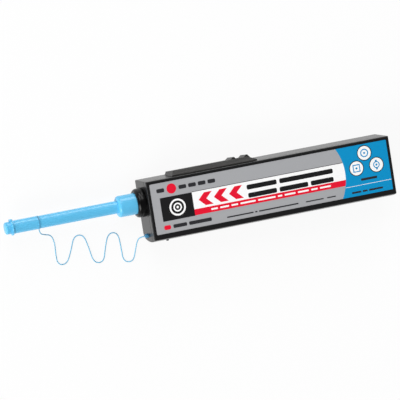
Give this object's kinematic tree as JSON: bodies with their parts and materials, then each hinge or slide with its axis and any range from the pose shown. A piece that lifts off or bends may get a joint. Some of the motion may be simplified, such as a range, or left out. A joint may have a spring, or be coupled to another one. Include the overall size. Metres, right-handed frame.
{
  "type": "fibre connector cleaning pen",
  "caption": "Push-type fibre connector cleaning pen: flat black housing with a printed label, thumb slide, spring-loaded nozzle and a blue guide cap and dust cap on a thin tether.",
  "frame": {"origin": "middle of the housing's flat back face", "axes": "+X from the nozzle to the rear end along the tool, +Y towards the slide lever, +Z from the back face to the label"},
  "size_m": [0.2178, 0.0473, 0.02],
  "materials": {
    "black_plastic": "satin moulded plastic",
    "label_print": "printed film, semi-gloss",
    "collar_plastic": "gloss moulded plastic",
    "blue_plastic": "gloss moulded plastic, slightly translucent",
    "tether_plastic": "soft satin plastic",
    "natural_plastic": "natural acetal",
    "white_plastic": "white moulded plastic",
    "steel": "bright drawn wire",
    "thread": "fine woven thread"
  },
  "bodies": {
    "housing": {"back_shell": "black_plastic", "front_cover": "black_plastic", "label": "label_print", "nozzle_collar": "collar_plastic", "tether_plug": "tether_plastic", "tether": "tether_plastic", "detent_spring": "steel", "return_spring": "steel", "pinion_axle": "steel", "takeup_axle": "steel", "supply_axle": "steel", "click_pawl": "natural_plastic", "supply_brake": "natural_plastic", "feed_strand": "thread", "return_strand": "thread"},
    "lever": {"slide_lever": "black_plastic", "tip_carrier": "natural_plastic", "tip_spring": "steel"},
    "tip": {"tip_shaft": "white_plastic", "tip_head": "white_plastic", "thread_loop": "thread"},
    "nozzle": {"nozzle_carriage": "natural_plastic", "nozzle_tube": "natural_plastic"},
    "guide": {"guide_cap": "blue_plastic"},
    "dust": {"dust_cap": "blue_plastic", "tether_ring": "tether_plastic"},
    "pinion": {"drive_pinion": "natural_plastic"},
    "takeup": {"takeup_gear": "natural_plastic", "takeup_reel": "white_plastic", "takeup_thread": "thread"},
    "supply": {"supply_reel": "white_plastic", "supply_thread": "thread"}
  },
  "joints": [
    {"name": "lever_slide", "type": "slide", "parent": "housing", "child": "lever", "axis": [-1, 0, 0], "range_m": [0, 0.008]},
    {"name": "tip_give", "type": "slide", "parent": "lever", "child": "tip", "axis": [1, 0, 0], "range_m": [0, 0.0015], "stiffness_N_per_m": 150, "springref_m": -0.001, "deforming": ["tip_spring", "feed_strand", "return_strand"]},
    {"name": "nozzle_push", "type": "slide", "parent": "housing", "child": "nozzle", "axis": [1, 0, 0], "range_m": [0, 0.008], "stiffness_N_per_m": 600, "springref_m": -0.003, "deforming": ["return_spring"]},
    {"name": "guide_cap_pull", "type": "slide", "parent": "nozzle", "child": "guide", "axis": [-1, 0, 0], "range_m": [0, 0.043]},
    {"name": "dust_cap_pull", "type": "slide", "parent": "guide", "child": "dust", "axis": [-1, 0, 0], "range_m": [0, 0.024]},
    {"name": "pinion_turn", "type": "hinge", "parent": "housing", "child": "pinion", "pos_m": [-0.0247, -0.0064, 0.005], "axis": [0, 0, 1], "range_deg": [-96, 0.5]},
    {"name": "takeup_turn", "type": "hinge", "parent": "housing", "child": "takeup", "pos_m": [-0.0082, 0, 0.005], "axis": [0, 0, 1], "range_deg": [-0.2, 36.1]},
    {"name": "supply_turn", "type": "hinge", "parent": "housing", "child": "supply", "pos_m": [0.034, 0, 0.005], "axis": [0, 0, 1], "range_deg": [-0.2, 22.9]}
  ],
  "couplings": [
    {"joint": "pinion_turn", "follows": "nozzle_push", "rad_per_m": -208.33},
    {"joint": "takeup_turn", "follows": "nozzle_push", "rad_per_m": 78.125},
    {"joint": "supply_turn", "follows": "nozzle_push", "rad_per_m": 49.342}
  ]
}
